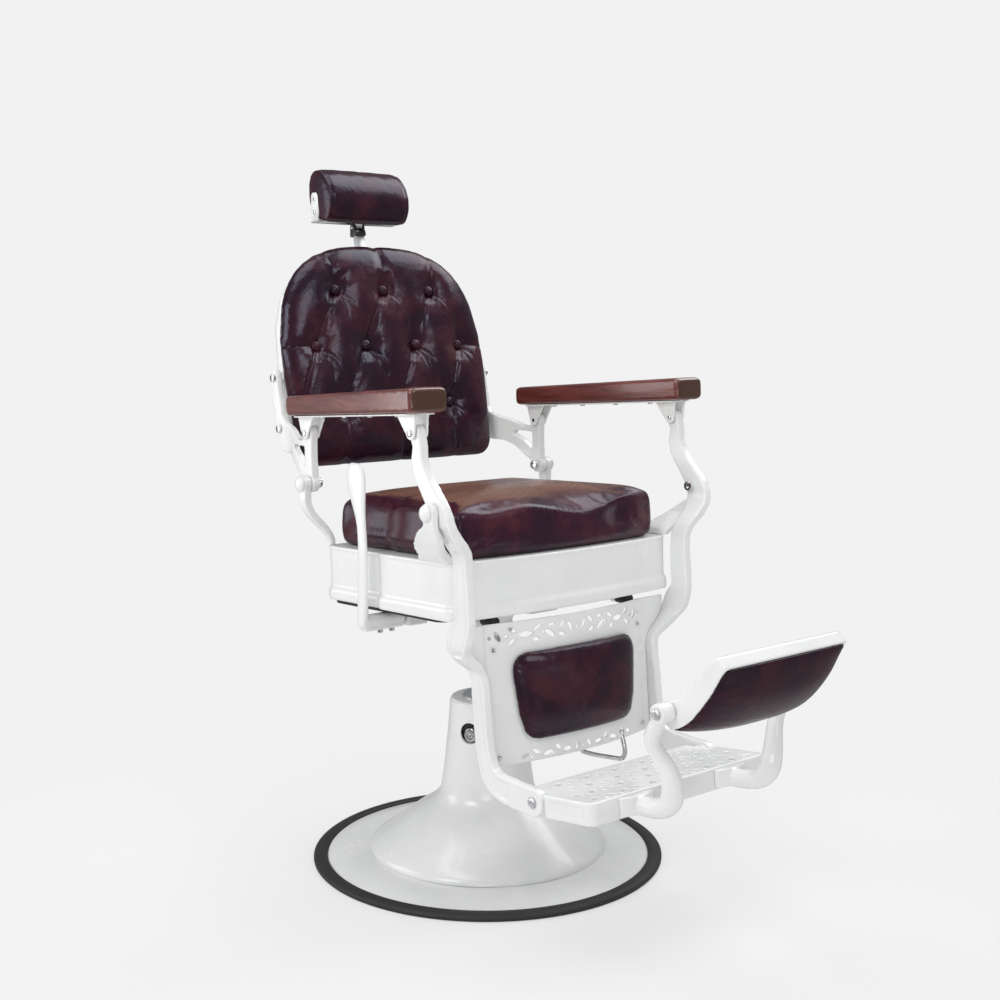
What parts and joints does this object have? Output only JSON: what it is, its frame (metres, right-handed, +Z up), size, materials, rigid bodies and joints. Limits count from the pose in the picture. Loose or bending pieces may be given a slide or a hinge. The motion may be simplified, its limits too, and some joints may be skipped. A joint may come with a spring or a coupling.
{
  "type": "hydraulic barber chair",
  "caption": "Vintage-style hydraulic barber chair with white enamelled castings, tufted oxblood leather, wooden arm rests, pierced footrest and turn-over leg pad.",
  "frame": {"origin": "On the floor, on the axis of the lift column, where the pump's foot and the rubber ring stand.", "axes": "+Z up. The sitter faces -Y, so the leg pad is at -Y and the back at +Y. +X is the sitter's left, and the hand lever is at -X."},
  "size_m": [0.6974, 1.1966, 1.3455],
  "materials": {
    "enamel": "gloss",
    "leather": "polished, mottled oxblood",
    "wood": "varnished red hardwood",
    "rubber": "matt",
    "black_paint": "satin",
    "chrome": "bright",
    "steel": "ground"
  },
  "bodies": {
    "base": {"base_ring": "rubber", "base_disc": "enamel", "pedestal": "enamel", "pump_cylinder": "steel", "gland_collar": "steel", "pedestal_screw": "chrome"},
    "lift_column": {"ram": "chrome", "ram_head": "steel", "swivel_bearing": "steel"},
    "seat": {"saddle": "enamel", "seat_base_plate": "black_paint", "apron": "enamel", "seat_cushion": "leather", "right_front_post": "enamel", "left_front_post": "enamel", "right_rear_post": "enamel", "left_rear_post": "enamel", "front_pivot_bolts": "enamel", "rear_pivot_bolts": "enamel", "stop_barrels": "chrome", "stop_rubbers": "rubber", "lever_bearing": "enamel"},
    "lever": {"hand_lever": "enamel", "lever_shaft": "steel", "lever_bolts": "chrome"},
    "back": {"right_back_bracket": "enamel", "left_back_bracket": "enamel", "bracket_bolts": "chrome", "back_shell": "enamel", "back_cushion": "leather", "back_buttons": "leather", "headrest_guide": "steel"},
    "headrest_stem": {"headrest_bar": "chrome", "headrest_clamp": "black_paint"},
    "headrest": {"headrest_plate": "enamel", "headrest_cushion": "leather", "headrest_screws": "chrome", "headrest_pin": "steel"},
    "right_arm": {"right_arm_plate": "enamel", "right_arm_wood": "wood", "right_arm_pins": "chrome", "right_arm_screws": "chrome"},
    "left_arm": {"left_arm_plate": "enamel", "left_arm_wood": "wood", "left_arm_pins": "chrome", "left_arm_screws": "chrome"},
    "leg_frame": {"right_crank": "enamel", "left_crank": "enamel", "kick_panel": "enamel", "kick_cushion": "leather", "panel_screws": "chrome", "pull_loop": "chrome", "tread": "enamel", "tread_bolts": "chrome", "right_rest_arm": "enamel", "left_rest_arm": "enamel", "pad_pins": "chrome"},
    "leg_pad": {"pad_tray": "enamel", "pad_leather": "leather"}
  },
  "joints": [
    {"name": "lift", "type": "slide", "parent": "base", "child": "lift_column", "axis": [0, 0, 1], "range_m": [-0.1, 0.065]},
    {"name": "swivel", "type": "hinge", "parent": "lift_column", "child": "seat", "pos_m": [0, 0, 0.45], "axis": [0, 0, 1], "continuous": true},
    {"name": "lever_pull", "type": "hinge", "parent": "seat", "child": "lever", "pos_m": [-0.28, 0.012, 0.496], "axis": [1, 0, 0], "range_deg": [-6, 20], "stiffness_Nm_per_rad": 12},
    {"name": "recline", "type": "hinge", "parent": "seat", "child": "back", "pos_m": [0, 0.172, 0.735], "axis": [-1, 0, 0], "range_deg": [0, 40]},
    {"name": "headrest_slide", "type": "slide", "parent": "back", "child": "headrest_stem", "axis": [0, 0.2164, 0.9763], "range_m": [-0.028, 0.07]},
    {"name": "headrest_tilt", "type": "hinge", "parent": "headrest_stem", "child": "headrest", "pos_m": [0, 0.428, 1.23], "axis": [1, 0, 0], "range_deg": [-20, 20]},
    {"name": "right_arm_link", "type": "hinge", "parent": "back", "child": "right_arm", "pos_m": [-0.283, 0.175, 0.829], "axis": [1, 0, 0], "range_deg": [0, 44]},
    {"name": "left_arm_link", "type": "hinge", "parent": "back", "child": "left_arm", "pos_m": [0.283, 0.175, 0.829], "axis": [1, 0, 0], "range_deg": [0, 44]},
    {"name": "leg_swing", "type": "hinge", "parent": "seat", "child": "leg_frame", "pos_m": [0, -0.246, 0.7245], "axis": [-1, 0, 0], "range_deg": [0, 31.5]},
    {"name": "pad_flip", "type": "hinge", "parent": "leg_frame", "child": "leg_pad", "pos_m": [0, -0.618, 0.44], "axis": [-1, 0, 0], "range_deg": [0, 110]}
  ],
  "couplings": [
    {"joint": "leg_swing", "follows": "recline", "ratio": 0.7758},
    {"joint": "right_arm_link", "follows": "recline", "ratio": 1.0876},
    {"joint": "left_arm_link", "follows": "recline", "ratio": 1.0876}
  ]
}
